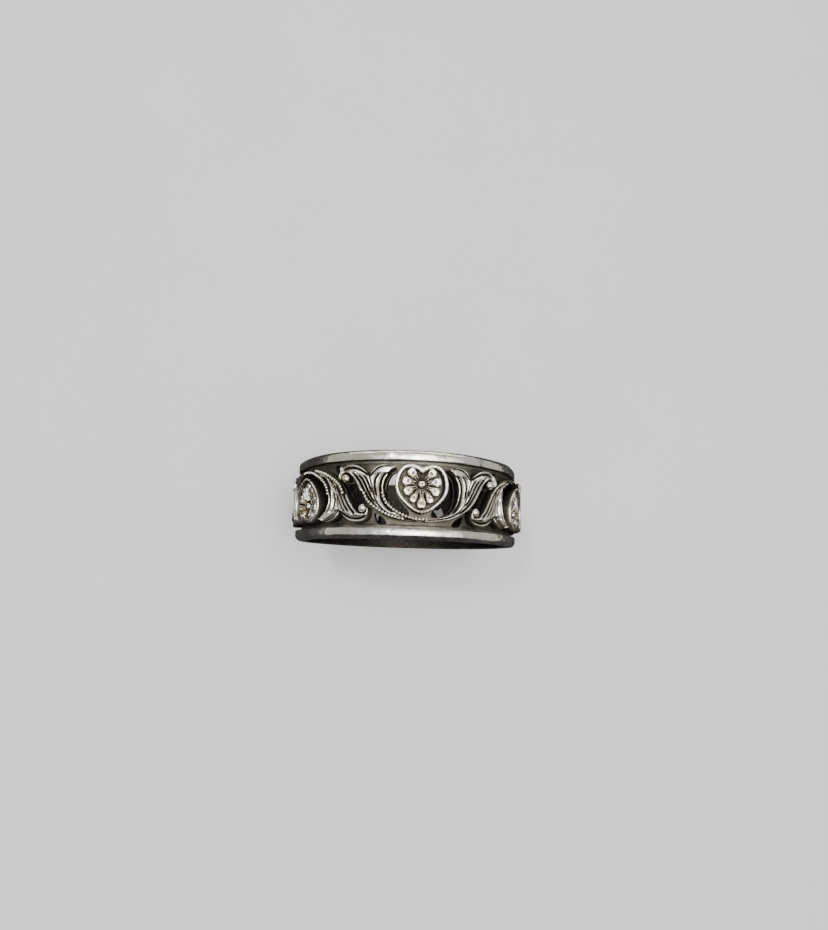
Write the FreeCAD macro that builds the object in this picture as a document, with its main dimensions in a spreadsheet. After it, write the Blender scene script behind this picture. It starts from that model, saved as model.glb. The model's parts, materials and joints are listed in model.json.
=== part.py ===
import FreeCAD, Part
import Sketcher
import math
import os

# Openwork wedding band. The finger axis is Y, the first heart's middle is at +Z, and the origin is
# the middle of the finger bore. Six motifs go round the band: 1, 3 and 5 stand upright (towards +Y),
# 2, 4 and 6 are the same motif turned upside down. A motif is drawn on the unrolled band: along it
# from the heart's middle line, and across it towards the heart's lobes, in millimetres.

SIZES = {
    "bore_radius": 8.675,       # US ring size 7
    "strip_radius": 9.25,       # outer face of the pierced strip
    "rail_radius": 9.8,         # outer face of the two edge rails
    "plate_radius": 9.5,        # sunk field inside a heart
    "petal_radius": 9.98,       # tops of the petals
    "boss_radius": 9.8,         # top of the flower's middle boss
    "scroll_radius": 10.1,      # tops of the leaves
    "relief_radius": 10.2,      # tops of the heart borders and bead wires
    "vein_radius": 9.75,        # floor of the groove between two leaves
    "half_width": 3.33,         # half of the band's width
    "rail_width": 0.8,
    "rail_bevel": 0.28,
    "rim_break": 0.12,          # softened edge on the finger side
    "motif_count": 6,
    "ball_size": 0.33,          # radius of the ball under a curl
    "ball_radius": 9.83,        # where that ball's middle is, from the finger axis
    "post_size": 0.2,           # radius of the post under that ball
    "bead_size": 0.29,          # radius of the flower's middle bead
    "boss_size": 0.42,          # radius of the boss under that bead
    "wire_width": 0.2,          # bead wire, across
    "seat_gap": 0.05,           # solder gap between a leaf and its bead wire
    "pad_start": 8.2,           # where a relief pad starts, before it is trimmed to the strip
    "clear_radius": 11.5,       # beyond everything, for the trimming cuts
}

# Heart, right half: from the notch between the lobes round to the point.
HEART_OUTER = [(0, 1.93), (0.42, 2.1), (0.88, 2.17), (1.4, 2.03), (1.78, 1.62), (1.98, 1.1), (2.02, 0.62),
               (1.93, 0.12), (1.62, -0.42), (1.05, -0.98), (0.5, -1.34), (0, -1.5)]
HEART_INNER = [(0, 1.52), (0.38, 1.77), (0.86, 1.91), (1.3, 1.75), (1.6, 1.35), (1.75, 0.9), (1.76, 0.5),
               (1.64, 0.08), (1.34, -0.4), (0.84, -0.87), (0.4, -1.16), (0, -1.26)]

# Petals of one flower: direction in degrees from the heart's lobes, length from the bead, half width.
FLOWER_MIDDLE = (0, 0.76)
PETALS = [(180, 1.88, 0.36), (151, 1.62, 0.28), (118, 1.5, 0.32), (82, 1.48, 0.32), (43, 1.36, 0.31),
          (-43, 1.36, 0.31), (-82, 1.48, 0.32), (-118, 1.5, 0.32), (-151, 1.62, 0.28)]
PETAL_ROOT = 0.34

# Leaf pair on the heart's right: inner leaf, notch, outer leaf with its curl, and the shared stem.
# Both stems are drawn past the place where they meet, and cut back to it.
LEAF_INNER_EDGE = [(-0.1, -1.8), (0.8, -1.78), (1.45, -1.69), (2.12, -1.45), (2.62, -0.98), (2.88, -0.4),
                   (2.95, 0.2), (2.88, 0.8), (2.68, 1.26), (2.4, 1.58), (2.03, 1.86)]
LEAF_INNER_TOP = [(2.03, 1.86), (2.4, 2.03), (2.95, 2.13), (3.5, 2.01), (3.86, 1.72), (4.08, 1.34)]
LEAF_OUTER_TOP = [(4.08, 1.34), (4.4, 1.65), (4.85, 1.97), (5.5, 2.17), (6.12, 2.1), (6.52, 1.84),
                  (6.68, 1.5), (6.64, 1.22), (6.55, 1.04)]
CURL_MIDDLE = (6.12, 1.12)
CURL_INSIDE = [(6.55, 1.04), (6.53, 1.24), (6.38, 1.46), (6.12, 1.52), (5.82, 1.42), (5.6, 1.32)]
LEAF_OUTER_EDGE = [(5.6, 1.32), (5.36, 1.08), (5.06, 0.62), (4.76, 0.12), (4.46, -0.36), (4.14, -0.73),
                   (3.7, -1.1), (3.2, -1.42), (2.6, -1.71), (2.0, -1.88), (1.3, -1.98), (-0.1, -2.06)]
LEAF_VEIN = [(4.0, 1.05), (3.86, 0.6), (3.74, 0.1), (3.5, -0.42), (3.14, -0.9), (2.6, -1.32)]
VEIN_HALF_WIDTH = 0.06

# Bead wires on the left leaf pair: where each starts and ends along the edges above.
INNER_BEAD_EDGE = [(-0.7, -1.8), (0.8, -1.78), (1.45, -1.69), (2.12, -1.45), (2.62, -0.98), (2.88, -0.4)]
OUTER_BEAD_EDGE = [(4.46, -0.36), (4.14, -0.73), (3.7, -1.1), (3.2, -1.42), (2.6, -1.71), (1.55, -1.94)]
LEFT_STEM_TIP = (2.55, -1.43)
STEMS_MEET_AT = 0.3

# Openings in the strip. The gap's corners are measured from halfway between two motifs.
CRESCENT_OUTER = [(2.06, 1.6), (2.34, 1.52), (2.62, 1.2), (2.83, 0.75), (2.89, 0.2), (2.81, -0.4),
                  (2.56, -0.97), (2.06, -1.4), (1.45, -1.6), (0.95, -1.62)]
CRESCENT_INNER = [(0.95, -1.62), (0.98, -1.2), (1.36, -0.84), (1.74, -0.38), (2.0, 0.12), (2.09, 0.62),
                  (2.06, 1.12), (1.98, 1.4), (2.06, 1.6)]
STEM_TRIANGLE = [(2.75, -2.24), (3.45, -2.24), (3.82, -1.6), (3.66, -1.45), (3.02, -1.8)]
GAP_CORNERS = [(-1.0, -0.62), (-0.58, 0.14), (-0.06, 0.98), (0.28, 0.8),
               (1.0, 0.62), (0.58, -0.14), (0.06, -0.98), (-0.28, -0.8)]

HEART_AT = 0.0
SCROLL_AT = 3.6
BEADS_AT = 2.3

doc = FreeCAD.newDocument("wedding_band")


def make_sheet():
    """The driving dimensions, one aliased cell each."""
    cells = doc.addObject("Spreadsheet::Sheet", "Sizes")
    for row, (alias, number) in enumerate(SIZES.items(), start=1):
        cells.set(f"A{row}", alias)
        cells.set(f"B{row}", str(number))
        cells.setAlias(f"B{row}", alias)
    doc.recompute()
    return cells


sheet = make_sheet()


def value(expression):
    """The number an expression of the sheet has now."""
    return float(sheet.evalExpression(expression))


def mirrored(points):
    return [(-along, across) for along, across in points]


def on_tangent(points, touch, depth="(Sizes.strip_radius + Sizes.scroll_radius) / 2"):
    """Unrolled points on a plane square to the radius at touch, true at the radius called depth."""
    unrolled = value("Sizes.relief_radius")
    radius = value(depth)
    return [FreeCAD.Vector(radius * math.sin((along - touch) / unrolled), across, 0)
            for along, across in points]


def shifted(points, distance):
    """The same line moved sideways, to the left of its direction when distance is positive."""
    moved = []
    last = len(points) - 1
    for index, (along, across) in enumerate(points):
        before = points[max(index - 1, 0)]
        after = points[min(index + 1, last)]
        run = math.dist(before, after)
        moved.append((along - distance * (after[1] - before[1]) / run,
                      across + distance * (after[0] - before[0]) / run))
    return moved


def new_body(label):
    body = doc.addObject("PartDesign::Body", label)
    body.Label = label
    return body


def new_sketch(body, name, role):
    """A sketch on one of the body's own origin planes."""
    planes = [item for item in body.Origin.OriginFeatures if item.Role == role]
    sketch = body.newObject("Sketcher::SketchObject", name)
    sketch.AttachmentSupport = (planes[0], [""])
    sketch.MapMode = "FlatFace"
    return sketch


def bind_corner(sketch, kind, edge, expression):
    """Holds the start of an edge at a distance from the sketch's origin that the sheet gives."""
    constraint = Sketcher.Constraint(kind, -1, 1, edge, 1, value(expression))
    index = sketch.addConstraint(constraint)
    sketch.setExpression(f"Constraints[{index}]", expression)


def bound_polygon(sketch, corners):
    """A closed polygon with corners (along the axis, from the axis) given as expressions."""
    first = sketch.GeometryCount
    count = len(corners)
    points = [FreeCAD.Vector(value(axial), value(radial), 0) for axial, radial in corners]
    for index in range(count):
        sketch.addGeometry(Part.LineSegment(points[index], points[(index + 1) % count]))
    for index, (axial, radial) in enumerate(corners):
        edge = first + index
        following = first + (index + 1) % count
        sketch.addConstraint(Sketcher.Constraint("Coincident", edge, 2, following, 1))
        bind_corner(sketch, "DistanceX", edge, axial)
        bind_corner(sketch, "DistanceY", edge, radial)


def add_curve(sketch, points):
    """One smooth curve through points."""
    curve = Part.BSplineCurve()
    curve.interpolate(points)
    sketch.addGeometry(curve)


def add_lines(sketch, points):
    """A closed outline of straight edges."""
    for start, end in zip(points, points[1:] + points[:1]):
        sketch.addGeometry(Part.LineSegment(start, end))


def add_line(sketch, start, end):
    sketch.addGeometry(Part.LineSegment(start, end))


def revolve(body, name, corners):
    """A ring of the given section about the finger axis."""
    sketch = new_sketch(body, name + "_section", "YZ_Plane")
    bound_polygon(sketch, corners)
    ring = body.newObject("PartDesign::Revolution", name)
    ring.Profile = sketch
    ring.ReferenceAxis = (sketch, ["H_Axis"])
    ring.Angle = 360
    sketch.Visibility = False
    return ring


def relief_sketch(body, name):
    """A sketch on a plane square to the radius, below the strip's face."""
    sketch = new_sketch(body, name, "XY_Plane")
    sketch.setExpression("AttachmentOffset.Base.z", "Sizes.pad_start")
    return sketch


def raise_relief(body, sketch, top):
    """Pads an outline outwards past the radius called top."""
    pad = body.newObject("PartDesign::Pad", sketch.Name + "_pad")
    pad.Profile = sketch
    pad.setExpression("Length", f"Sizes.{top} - Sizes.pad_start")
    return pad


def trim_to_band(body, foot, top):
    """Turns the relief's foot and top to the radii named, about the finger axis."""
    sketch = new_sketch(body, body.Name + "_trim", "YZ_Plane")
    left = "-Sizes.half_width"
    right = "Sizes.half_width"
    for low, high in ((f"Sizes.{foot} / 2", f"Sizes.{foot}"), (f"Sizes.{top}", "Sizes.clear_radius")):
        bound_polygon(sketch, [(left, low), (right, low), (right, high), (left, high)])
    groove = body.newObject("PartDesign::Groove", body.Name + "_trimmed")
    groove.Profile = sketch
    groove.ReferenceAxis = (sketch, ["H_Axis"])
    groove.Angle = 360
    sketch.Visibility = False
    return groove


def seat_on_band(piece, motif, touch):
    """Turns a piece from the first motif's frame to its place on the band."""
    pitch = 360.0 / value("Sizes.motif_count")
    offset = math.degrees(touch / value("Sizes.relief_radius"))
    y_axis = FreeCAD.Vector(0, 1, 0)
    z_axis = FreeCAD.Vector(0, 0, 1)
    turn = FreeCAD.Rotation(y_axis, pitch * motif)
    flip = FreeCAD.Rotation(z_axis, 180 * (motif % 2))
    piece.Placement = FreeCAD.Placement(FreeCAD.Vector(0, 0, 0),
                                        turn * flip * FreeCAD.Rotation(y_axis, offset))


def make_edge_rail(label, side):
    """Plain bright rail along one edge, bevelled outside and softened on the finger side."""
    body = new_body(label)
    rim = f"{side} * Sizes.half_width"
    inner = f"{side} * (Sizes.half_width - Sizes.rail_width)"
    shoulder = f"{side} * (Sizes.half_width - Sizes.rail_bevel)"
    softened = f"{side} * (Sizes.half_width - Sizes.rim_break)"
    revolve(body, label + "_ring", [
        (inner, "Sizes.bore_radius"),
        (softened, "Sizes.bore_radius"),
        (rim, "Sizes.bore_radius + Sizes.rim_break"),
        (rim, "Sizes.rail_radius - Sizes.rail_bevel"),
        (shoulder, "Sizes.rail_radius"),
        (inner, "Sizes.rail_radius"),
    ])
    return body


def cut_strip(body, name, angle, flipped, outlines):
    """Pierces closed outlines through the near wall of the strip, at an angle round the band."""
    sketch = new_sketch(body, name + "_outline", "XY_Plane")
    turn = FreeCAD.Rotation(FreeCAD.Vector(0, 1, 0), angle)
    flip = FreeCAD.Rotation(FreeCAD.Vector(0, 0, 1), 180 * flipped)
    outward = turn.multVec(FreeCAD.Vector(0, 0, value("Sizes.clear_radius")))
    sketch.AttachmentOffset = FreeCAD.Placement(outward, turn * flip)
    for add_outline, points in outlines:
        add_outline(sketch, points)
    pocket = body.newObject("PartDesign::Pocket", name)
    pocket.Profile = sketch
    pocket.setExpression("Length", "Sizes.clear_radius - Sizes.bore_radius / 2")
    sketch.Visibility = False
    return pocket


def on_strip(points):
    """Unrolled points for an opening, true at the strip's outer face."""
    return on_tangent(points, 0, "Sizes.strip_radius")


def add_crescent(sketch, sides):
    """Opening between two curves that meet at both ends."""
    for side in sides:
        add_curve(sketch, side)


def motif_openings():
    """The crescents beside one heart and the two small openings by its stems."""
    outlines = []
    for place in (list, mirrored):
        sides = [on_strip(place(side)) for side in (CRESCENT_OUTER, CRESCENT_INNER)]
        outlines.append((add_crescent, sides))
        outlines.append((add_lines, on_strip(place(STEM_TRIANGLE))))
    return outlines


def make_pierced_strip(label):
    """Flat strip between the rails, pierced round every motif."""
    body = new_body(label)
    edge = "Sizes.half_width - Sizes.rail_width"
    revolve(body, label + "_ring", [
        (f"-({edge})", "Sizes.bore_radius"),
        (edge, "Sizes.bore_radius"),
        (edge, "Sizes.strip_radius"),
        (f"-({edge})", "Sizes.strip_radius"),
    ])
    pitch = 360.0 / value("Sizes.motif_count")
    right_gap = on_strip(GAP_CORNERS)
    left_gap = on_strip(mirrored(GAP_CORNERS))
    cuts = [
        cut_strip(body, "upright_openings", 0, False, motif_openings()),
        cut_strip(body, "inverted_openings", pitch, True, motif_openings()),
        cut_strip(body, "right_gap", pitch / 2, False, [(add_lines, right_gap)]),
        cut_strip(body, "left_gap", -pitch / 2, False, [(add_lines, left_gap)]),
    ]
    axes = [item for item in body.Origin.OriginFeatures if item.Role == "Y_Axis"]
    pattern = body.newObject("PartDesign::PolarPattern", "openings_round_band")
    pattern.Originals = cuts
    pattern.Axis = (axes[0], [""])
    pattern.Angle = 360
    pattern.setExpression("Occurrences", "Sizes.motif_count / 2")
    body.Tip = pattern
    return body


def add_heart(sketch, half):
    """A closed heart from its right half."""
    add_curve(sketch, on_tangent(half, HEART_AT))
    add_curve(sketch, on_tangent(mirrored(half), HEART_AT))


def make_heart_plate(label, motif):
    """Sunk field that fills the heart border."""
    body = new_body(label)
    sketch = relief_sketch(body, label + "_outline")
    add_heart(sketch, HEART_INNER)
    raise_relief(body, sketch, "plate_radius")
    trim_to_band(body, "strip_radius", "plate_radius")
    seat_on_band(body, motif, HEART_AT)
    return body


def make_heart_border(label, motif):
    """Heart-shaped bezel wire round the field."""
    body = new_body(label)
    sketch = relief_sketch(body, label + "_outline")
    add_heart(sketch, HEART_OUTER)
    add_heart(sketch, HEART_INNER)
    raise_relief(body, sketch, "relief_radius")
    trim_to_band(body, "strip_radius", "relief_radius")
    seat_on_band(body, motif, HEART_AT)
    return body


def add_petal(sketch, direction, length, half_width):
    """Petal with a round end, tapering to its root under the bead."""
    turn = math.radians(direction)
    outward = FreeCAD.Vector(math.sin(turn), math.cos(turn), 0)
    sideways = FreeCAD.Vector(outward.y, -outward.x, 0)
    middle = FreeCAD.Vector(FLOWER_MIDDLE[0], FLOWER_MIDDLE[1], 0)
    tip = middle + outward * length
    root = middle + outward * PETAL_ROOT
    shoulder = middle + outward * (length - half_width)
    left = shoulder - sideways * half_width
    right = shoulder + sideways * half_width
    sketch.addGeometry(Part.Arc(left, tip, right))
    add_line(sketch, right, root)
    add_line(sketch, root, left)


def make_flower(label, motif):
    """Nine petals round a boss, standing on the heart's field."""
    body = new_body(label)
    boss_sketch = relief_sketch(body, label + "_boss")
    middle = FreeCAD.Vector(FLOWER_MIDDLE[0], FLOWER_MIDDLE[1], 0)
    up = FreeCAD.Vector(0, 0, 1)
    boss_sketch.addGeometry(Part.Circle(middle, up, value("Sizes.boss_size")))
    radius = boss_sketch.addConstraint(Sketcher.Constraint("Radius", 0, value("Sizes.boss_size")))
    boss_sketch.setExpression(f"Constraints[{radius}]", "Sizes.boss_size")
    raise_relief(body, boss_sketch, "boss_radius")
    petal_sketch = relief_sketch(body, label + "_petals")
    for direction, length, half_width in PETALS:
        add_petal(petal_sketch, direction, length, half_width)
    raise_relief(body, petal_sketch, "petal_radius")
    trim_to_band(body, "plate_radius", "petal_radius")
    seat_on_band(body, motif, HEART_AT)
    return body


def make_flower_bead(label, motif):
    """Domed bead on the flower's boss."""
    body = new_body(label)
    sketch = new_sketch(body, label + "_profile", "YZ_Plane")
    seat = value("Sizes.boss_radius")
    size = value("Sizes.bead_size")
    middle = FLOWER_MIDDLE[1]
    foot = FreeCAD.Vector(middle, seat, 0)
    top = FreeCAD.Vector(middle, seat + size, 0)
    side = FreeCAD.Vector(middle + size, seat, 0)
    slope = FreeCAD.Vector(middle + size * math.sqrt(0.5), seat + size * math.sqrt(0.5), 0)
    add_line(sketch, top, foot)
    add_line(sketch, foot, side)
    sketch.addGeometry(Part.Arc(side, slope, top))
    dome = body.newObject("PartDesign::Revolution", label + "_dome")
    dome.Profile = sketch
    dome.ReferenceAxis = (sketch, ["Edge1"])
    dome.Angle = 360
    sketch.Visibility = False
    seat_on_band(body, motif, HEART_AT)
    return body


def make_right_scroll(label, motif):
    """Inner and outer leaf on one stem, with a plain edge."""
    body = new_body(label)
    sketch = relief_sketch(body, label + "_outline")
    sides = (LEAF_INNER_EDGE, LEAF_INNER_TOP, LEAF_OUTER_TOP, CURL_INSIDE, LEAF_OUTER_EDGE)
    for side in sides:
        add_curve(sketch, on_tangent(side, SCROLL_AT))
    stem_end = on_tangent([LEAF_OUTER_EDGE[-1], LEAF_INNER_EDGE[0]], SCROLL_AT)
    add_line(sketch, stem_end[0], stem_end[1])
    raise_relief(body, sketch, "scroll_radius")
    cut_stem_end(body, SCROLL_AT, -1)
    cut_vein(body, list, SCROLL_AT)
    trim_to_band(body, "strip_radius", "scroll_radius")
    seat_on_band(body, motif, SCROLL_AT)
    return body


def cut_stem_end(body, touch, side):
    """Cuts a stem square across where the two stems of a motif meet, on the side given."""
    sketch = new_sketch(body, body.Name + "_stem_end", "XZ_Plane")
    turn = (STEMS_MEET_AT - touch) / value("Sizes.relief_radius")
    reach = value("Sizes.clear_radius")
    outward = FreeCAD.Vector(math.sin(turn), math.cos(turn), 0) * reach
    sideways = FreeCAD.Vector(math.cos(turn), -math.sin(turn), 0) * side * value("Sizes.half_width")
    add_lines(sketch, [outward * 0.5, outward, outward + sideways, outward * 0.5 + sideways])
    pocket = body.newObject("PartDesign::Pocket", body.Name + "_stem_cut")
    pocket.Profile = sketch
    pocket.SideType = "Symmetric"
    pocket.setExpression("Length", "2 * Sizes.half_width")
    sketch.Visibility = False
    return pocket


def cut_vein(body, place, touch):
    """Groove between the two leaves, from their notch down the stem."""
    sketch = new_sketch(body, body.Name + "_vein", "XY_Plane")
    sketch.setExpression("AttachmentOffset.Base.z", "Sizes.clear_radius")
    left = shifted(LEAF_VEIN, VEIN_HALF_WIDTH)
    right = shifted(LEAF_VEIN, -VEIN_HALF_WIDTH)
    ends = [(left[0], right[0]), (left[-1], right[-1])]
    add_curve(sketch, on_tangent(place(left), touch))
    add_curve(sketch, on_tangent(place(right), touch))
    for pair in ends:
        start, end = on_tangent(place(pair), touch)
        add_line(sketch, start, end)
    pocket = body.newObject("PartDesign::Pocket", body.Name + "_vein_cut")
    pocket.Profile = sketch
    pocket.setExpression("Length", "Sizes.clear_radius - Sizes.vein_radius")
    sketch.Visibility = False
    return pocket


def make_left_scroll(label, motif):
    """Leaf pair like the right one, cut back where its two bead wires lie."""
    body = new_body(label)
    sketch = relief_sketch(body, label + "_outline")
    seat = value("Sizes.wire_width + Sizes.seat_gap")
    inner_cut = shifted(INNER_BEAD_EDGE, -seat)[-2:]
    outer_cut = shifted(OUTER_BEAD_EDGE, -seat)[:-2]
    inner_free = LEAF_INNER_EDGE[len(INNER_BEAD_EDGE):]
    outer_free = LEAF_OUTER_EDGE[:LEAF_OUTER_EDGE.index(OUTER_BEAD_EDGE[0])]
    sides = (
        [LEFT_STEM_TIP] + inner_cut,
        inner_free,
        LEAF_INNER_TOP,
        LEAF_OUTER_TOP,
        CURL_INSIDE,
        outer_free,
        outer_cut + [LEFT_STEM_TIP],
    )
    for side in sides:
        add_curve(sketch, on_tangent(mirrored(side), -SCROLL_AT))
    for start, end in ((inner_cut[-1], inner_free[0]), (outer_free[-1], outer_cut[0])):
        step = on_tangent(mirrored([start, end]), -SCROLL_AT)
        add_line(sketch, step[0], step[1])
    raise_relief(body, sketch, "scroll_radius")
    cut_vein(body, mirrored, -SCROLL_AT)
    trim_to_band(body, "strip_radius", "scroll_radius")
    seat_on_band(body, motif, -SCROLL_AT)
    return body


def add_wire(sketch, edge):
    """Outline of a bead wire that lies inside the given edge."""
    far = shifted(edge, -value("Sizes.wire_width"))
    add_curve(sketch, on_tangent(mirrored(edge), -BEADS_AT))
    add_curve(sketch, on_tangent(mirrored(far), -BEADS_AT))
    for pair in ((edge[0], far[0]), (edge[-1], far[-1])):
        start, end = on_tangent(mirrored(pair), -BEADS_AT)
        add_line(sketch, start, end)


def make_bead_wires(label, motif):
    """The two beaded wires along the left leaf pair, joined where they run together."""
    body = new_body(label)
    sketch = relief_sketch(body, label + "_outline")
    add_wire(sketch, INNER_BEAD_EDGE)
    add_wire(sketch, OUTER_BEAD_EDGE)
    raise_relief(body, sketch, "relief_radius")
    cut_stem_end(body, -BEADS_AT, 1)
    trim_to_band(body, "strip_radius", "relief_radius")
    seat_on_band(body, motif, -BEADS_AT)
    return body


def make_curl_ball(label, motif, place):
    """Ball under the curl of an outer leaf, on a short post that stands on the strip."""
    along, across = place([CURL_MIDDLE])[0]
    seat = value("Sizes.strip_radius")
    middle = value("Sizes.ball_radius")
    size = value("Sizes.ball_size")
    post = value("Sizes.post_size")
    neck = middle - math.sqrt(size ** 2 - post ** 2)
    top = FreeCAD.Vector(across, middle + size, 0)
    foot = FreeCAD.Vector(across, seat, 0)
    foot_edge = FreeCAD.Vector(across + post, seat, 0)
    throat = FreeCAD.Vector(across + post, neck, 0)
    bulge = FreeCAD.Vector(across + size, middle, 0)
    body = new_body(label)
    sketch = new_sketch(body, label + "_profile", "YZ_Plane")
    add_line(sketch, top, foot)
    add_line(sketch, foot, foot_edge)
    add_line(sketch, foot_edge, throat)
    sketch.addGeometry(Part.Arc(throat, bulge, top))
    ball = body.newObject("PartDesign::Revolution", label + "_ball")
    ball.Profile = sketch
    ball.ReferenceAxis = (sketch, ["Edge1"])
    ball.Angle = 360
    sketch.Visibility = False
    seat_on_band(body, motif, along)
    return body


def make_motif(motif):
    """Every piece of one motif."""
    number = motif + 1
    return [
        make_heart_plate(f"heart_plate_{number}", motif),
        make_heart_border(f"heart_border_{number}", motif),
        make_flower(f"flower_{number}", motif),
        make_flower_bead(f"flower_bead_{number}", motif),
        make_left_scroll(f"scroll_left_{number}", motif),
        make_right_scroll(f"scroll_right_{number}", motif),
        make_bead_wires(f"bead_wires_{number}", motif),
        make_curl_ball(f"curl_ball_left_{number}", motif, mirrored),
        make_curl_ball(f"curl_ball_right_{number}", motif, list),
    ]


def check_document():
    """Stops if any object failed."""
    for item in doc.Objects:
        failed = [state for state in item.State if state in ("Invalid", "Error")]
        if failed:
            raise RuntimeError(f"{item.Name} is {failed[0]}")


def check_cuts(strip):
    """Stops if an opening left the strip as it was."""
    volume = None
    for feature in strip.Group:
        if feature.isDerivedFrom("PartDesign::Feature"):
            if volume is not None and feature.Shape.Volume >= volume - 0.05:
                raise RuntimeError(f"{feature.Name} cuts nothing")
            volume = feature.Shape.Volume


def write_parts(pieces):
    os.makedirs("parts", exist_ok=True)
    for piece in pieces:
        shape = piece.Shape
        if shape.isNull() or not shape.isValid():
            raise RuntimeError(f"{piece.Label} has no valid shape")
        shape.exportStep(f"parts/{piece.Label}.step")
        print(f"{piece.Label}: {len(shape.Solids)} solid(s), {shape.Volume:.3f} mm3")


strip = make_pierced_strip("pierced_strip")
pieces = [make_edge_rail("edge_rail_upper", 1), make_edge_rail("edge_rail_lower", -1), strip]
for motif in range(int(value("Sizes.motif_count"))):
    pieces += make_motif(motif)
doc.recompute()
check_document()
check_cuts(strip)
write_parts(pieces)
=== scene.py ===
import json
import math
import bpy
import bmesh
import numpy as np
from mathutils import Matrix, Vector, noise
from mathutils.geometry import delaunay_2d_cdt


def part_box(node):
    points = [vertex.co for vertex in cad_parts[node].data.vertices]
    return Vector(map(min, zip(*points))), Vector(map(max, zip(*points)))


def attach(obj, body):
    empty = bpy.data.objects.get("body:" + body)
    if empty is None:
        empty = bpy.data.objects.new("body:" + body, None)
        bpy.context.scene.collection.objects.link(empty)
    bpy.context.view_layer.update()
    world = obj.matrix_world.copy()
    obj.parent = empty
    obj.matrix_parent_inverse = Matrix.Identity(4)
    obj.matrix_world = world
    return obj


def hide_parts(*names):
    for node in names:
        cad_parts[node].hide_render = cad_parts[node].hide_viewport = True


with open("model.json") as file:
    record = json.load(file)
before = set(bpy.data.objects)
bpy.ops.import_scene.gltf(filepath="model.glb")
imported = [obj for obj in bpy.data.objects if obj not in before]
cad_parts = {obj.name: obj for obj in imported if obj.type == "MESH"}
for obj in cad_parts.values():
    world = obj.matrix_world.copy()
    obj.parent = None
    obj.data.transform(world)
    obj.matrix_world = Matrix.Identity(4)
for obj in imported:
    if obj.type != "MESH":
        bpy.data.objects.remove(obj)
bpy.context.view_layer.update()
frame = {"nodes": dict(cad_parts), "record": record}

# Openwork silver wedding band. The finger axis is Y and the first heart's middle is at +Z. Every relief
# piece is drawn on the unrolled band, in millimetres: along the band from its heart's middle line, and
# across the band towards the heart's lobes. Heights are radii from the finger axis.

MM = 0.001


# ---------------------------------------------------------------- sizes, from the frame

def corner_mm(node, corner, axis):
    """One coordinate of a node's box: corner 0 is the lowest, 1 the highest."""
    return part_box(node)[corner][axis] / MM


BORE = next(m["dims"]["r_mm"] for m in frame["record"]["mounts"] if m["name"] == "finger_bore")
STRIP_TOP = corner_mm("pierced_strip", 1, 0)
RAIL_TOP = corner_mm("edge_rail_upper", 1, 0)
RAIL_FOOT = corner_mm("edge_rail_upper", 0, 1)
RIM = corner_mm("edge_rail_upper", 1, 1)
RELIEF_TOP = corner_mm("heart_border_1", 1, 2)
PLATE_TOP = corner_mm("heart_plate_1", 1, 2)
MOTIFS = sum(name.startswith("heart_border_") for name in frame["nodes"])
PITCH = 2 * math.pi / MOTIFS
STRIP_FACE = STRIP_TOP - 0.07    # mean height of the strip's uneven face
FOOT = STRIP_TOP - 0.03          # feet of the relief pieces, 0.02 to 0.06 mm above that face
LEAF_FLOOR = STRIP_TOP + 0.36    # floor of the grooves in a leaf
LEAF_TOP = RELIEF_TOP - 0.07
BALL_SIZE = (corner_mm("curl_ball_right_1", 1, 1) - corner_mm("curl_ball_right_1", 0, 1)) / 2
BALL_ACROSS = (corner_mm("curl_ball_right_1", 1, 1) + corner_mm("curl_ball_right_1", 0, 1)) / 2
BALL_ALONG = 6.12
BALL_RADIUS = RELIEF_TOP - 0.37  # of the ball's middle, from the finger axis

# ---------------------------------------------------------------- outlines on the unrolled band

# Heart border, right half, outer and inner edge matched point by point from notch to point.
HEART_OUTER = [(0, 1.93), (0.42, 2.1), (0.88, 2.17), (1.4, 2.03), (1.78, 1.62), (1.98, 1.1), (2.02, 0.62),
               (1.93, 0.12), (1.62, -0.42), (1.05, -0.98), (0.5, -1.34), (0, -1.5)]
HEART_INNER = [(0, 1.5), (0.36, 1.76), (0.84, 1.91), (1.3, 1.78), (1.6, 1.4), (1.74, 0.98), (1.77, 0.58),
               (1.68, 0.16), (1.4, -0.32), (0.9, -0.82), (0.42, -1.16), (0, -1.28)]

# Inner leaf: stations from the stem's end to the tip, (heart side, side towards the outer leaf).
INNER_LEAF = [((0.3, -1.8), (0.3, -1.92)), ((1.2, -1.73), (1.2, -1.86)), ((2.0, -1.5), (2.1, -1.67)),
              ((2.55, -1.07), (2.78, -1.35)), ((2.83, -0.5), (3.3, -0.85)), ((2.94, 0.05), (3.62, -0.25)),
              ((2.93, 0.55), (3.82, 0.4)), ((2.8, 1.02), (3.97, 1.0)), ((2.62, 1.34), (4.04, 1.38)),
              ((2.45, 1.55), (3.86, 1.73)), ((2.32, 1.66), (3.45, 2.03)), ((2.2, 1.74), (2.9, 2.13)),
              ((2.08, 1.81), (2.4, 2.03)), ((2.0, 1.87), (2.03, 1.9))]
# Outer leaf: (upper side, lower side), over the top and round its curl.
OUTER_LEAF = [((0.3, -1.94), (0.3, -2.06)), ((1.2, -1.88), (1.3, -1.99)), ((2.13, -1.69), (2.3, -1.82)),
              ((2.81, -1.37), (3.1, -1.47)), ((3.33, -0.87), (3.8, -1.03)), ((3.65, -0.27), (4.35, -0.5)),
              ((3.85, 0.38), (4.72, 0.05)), ((4.0, 0.98), (5.02, 0.55)), ((4.17, 1.4), (5.25, 0.93)),
              ((4.5, 1.75), (5.42, 1.15)), ((5.0, 2.05), (5.62, 1.34)), ((5.55, 2.18), (5.82, 1.46)),
              ((6.1, 2.12), (6.05, 1.53)), ((6.5, 1.87), (6.3, 1.5)), ((6.67, 1.52), (6.47, 1.36)),
              ((6.66, 1.25), (6.53, 1.2)), ((6.58, 1.05), (6.54, 1.06))]
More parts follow.
